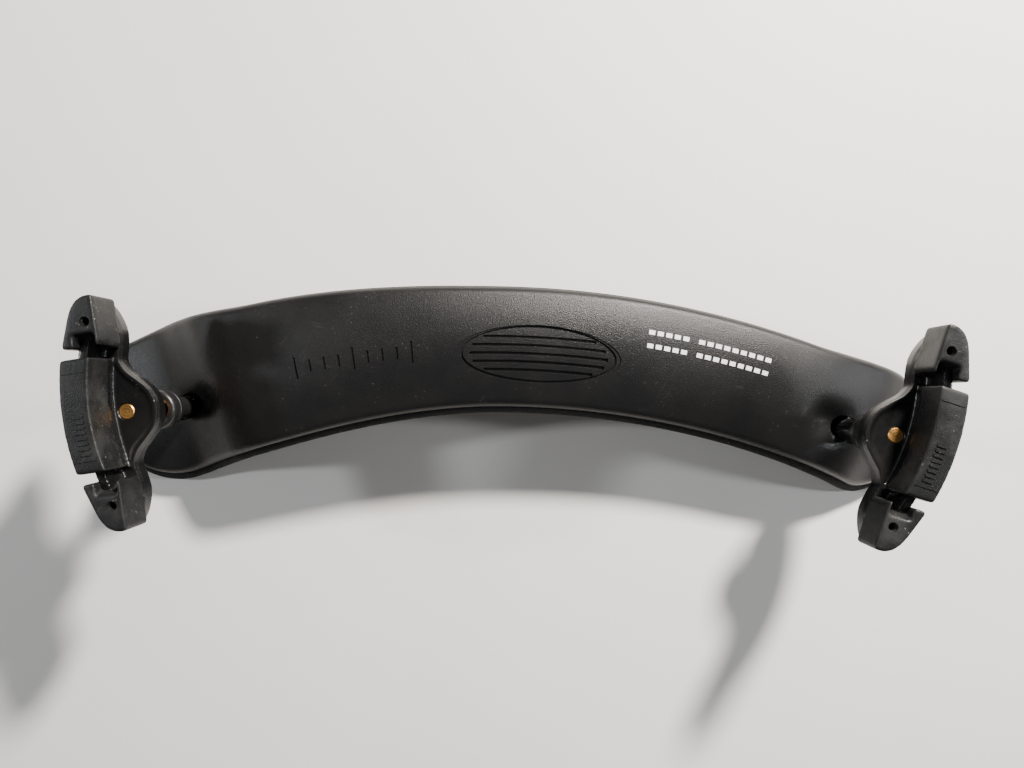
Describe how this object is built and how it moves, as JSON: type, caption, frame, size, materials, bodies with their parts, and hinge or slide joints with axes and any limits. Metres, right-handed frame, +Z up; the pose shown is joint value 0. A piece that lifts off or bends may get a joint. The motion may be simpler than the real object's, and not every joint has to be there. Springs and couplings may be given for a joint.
{
  "type": "violin shoulder rest",
  "caption": "Arched black violin shoulder rest: moulded body with a foam underside, and two feet with rubber pads on height screws in tilting legs.",
  "frame": {"origin": "middle of the plan box, on the surface that the rest stands on", "axes": "+X along the body to the right-hand foot, +Y to the convex long edge, +Z up, away from the player's shoulder"},
  "size_m": [0.2586, 0.0708, 0.0624],
  "materials": {
    "body_plastic": "satin black, fine sandy grain",
    "foam": "closed-cell foam, dull black",
    "fork_plastic": "smooth glossy black nylon",
    "leg_plastic": "smooth black",
    "rubber": "dull charcoal rubber",
    "brass": "turned, dull",
    "steel": "plain steel"
  },
  "bodies": {
    "root": {"body_shell": "body_plastic", "foam_pad": "foam", "left_hinge_pin": "steel", "left_hinge_cover": "leg_plastic", "left_cover_screw_a": "steel", "left_cover_screw_b": "steel", "right_hinge_pin": "steel", "right_hinge_cover": "leg_plastic", "right_cover_screw_a": "steel", "right_cover_screw_b": "steel"},
    "left_leg": {"left_leg_barrel": "leg_plastic", "left_thread_insert": "brass"},
    "left_screw": {"left_height_screw": "brass"},
    "left_foot": {"left_fork": "fork_plastic", "left_middle_pad": "rubber", "left_corner_cap_a": "rubber", "left_corner_cap_b": "rubber"},
    "right_leg": {"right_leg_barrel": "leg_plastic", "right_thread_insert": "brass"},
    "right_screw": {"right_height_screw": "brass"},
    "right_foot": {"right_fork": "fork_plastic", "right_middle_pad": "rubber", "right_corner_cap_a": "rubber", "right_corner_cap_b": "rubber"}
  },
  "joints": [
    {"name": "left_leg_tilt", "type": "hinge", "parent": "root", "child": "left_leg", "pos_m": [-0.0974, -0.00008, 0.01116], "axis": [-0.3386, 0.9409, 0], "range_deg": [0, 18]},
    {"name": "left_height", "type": "slide", "parent": "left_leg", "child": "left_screw", "axis": [0, 0, 1], "range_m": [-0.008, 0.003]},
    {"name": "left_turn", "type": "hinge", "parent": "left_screw", "child": "left_foot", "pos_m": [-0.0974, -0.00008, 0.04996], "axis": [0, 0, 1], "range_deg": [-2880, 1080]},
    {"name": "right_leg_tilt", "type": "hinge", "parent": "root", "child": "right_leg", "pos_m": [0.10173, -0.00685, 0.01566], "axis": [-0.3914, -0.9202, 0], "range_deg": [-2.5, 19.5]},
    {"name": "right_height", "type": "slide", "parent": "right_leg", "child": "right_screw", "axis": [-0.0401, 0.0171, 0.999], "range_m": [-0.002, 0.009]},
    {"name": "right_turn", "type": "hinge", "parent": "right_screw", "child": "right_foot", "pos_m": [0.10039, -0.00628, 0.04893], "axis": [-0.0401, 0.0171, 0.999], "range_deg": [-720, 3240]}
  ],
  "couplings": [
    {"joint": "left_height", "follows": "left_turn", "m_per_rad": 0.00015915},
    {"joint": "right_height", "follows": "right_turn", "m_per_rad": 0.00015915}
  ]
}
